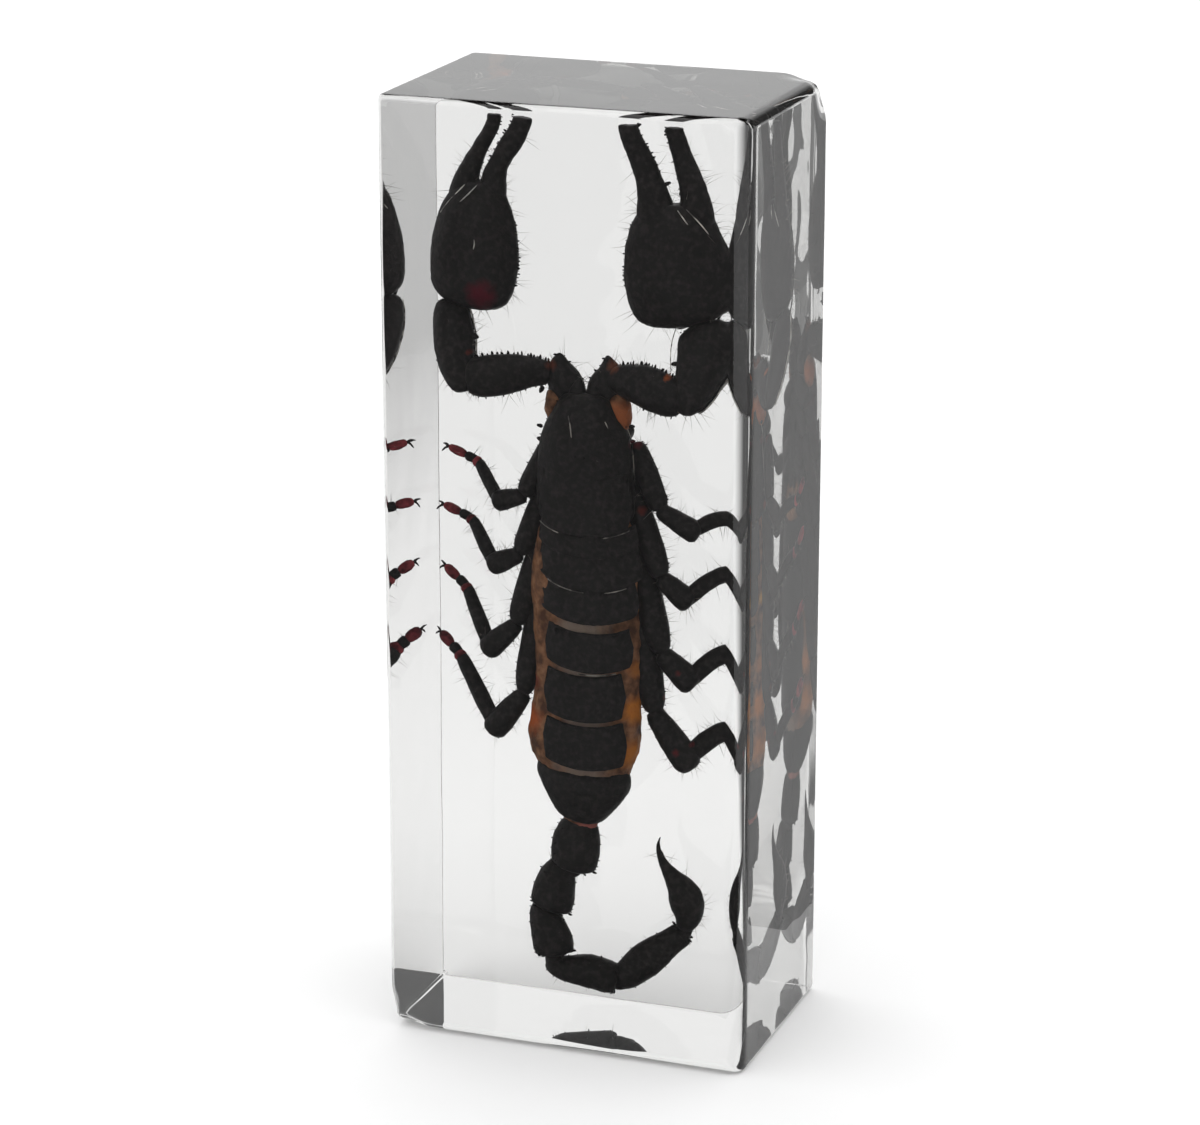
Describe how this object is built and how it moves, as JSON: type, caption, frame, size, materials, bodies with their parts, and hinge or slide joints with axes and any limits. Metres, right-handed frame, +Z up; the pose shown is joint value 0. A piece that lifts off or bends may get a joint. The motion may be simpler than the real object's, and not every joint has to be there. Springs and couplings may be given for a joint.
{
  "type": "scorpion in resin block",
  "caption": "Upright rectangular block of clear cast resin with a whole dried scorpion sealed inside, head up, back to the front face. Stands free on its flat small end.",
  "frame": {"origin": "middle of the flat bottom face that the block stands on", "axes": "+Z up, from the scorpion's tail to its pincers, -Y out of the front face, which the scorpion's back is turned to, +X to the right as seen from the front"},
  "size_m": [0.043, 0.028, 0.11],
  "materials": {
    "clear_resin": "clear cast polyester resin, ground and polished",
    "cuticle": "dried dark scorpion cuticle, black-brown, finely grained, with brown soft skin between its plates"
  },
  "bodies": {
    "root": {"resin_front": "clear_resin", "resin_back": "clear_resin", "scorpion": "cuticle"}
  },
  "joints": []
}
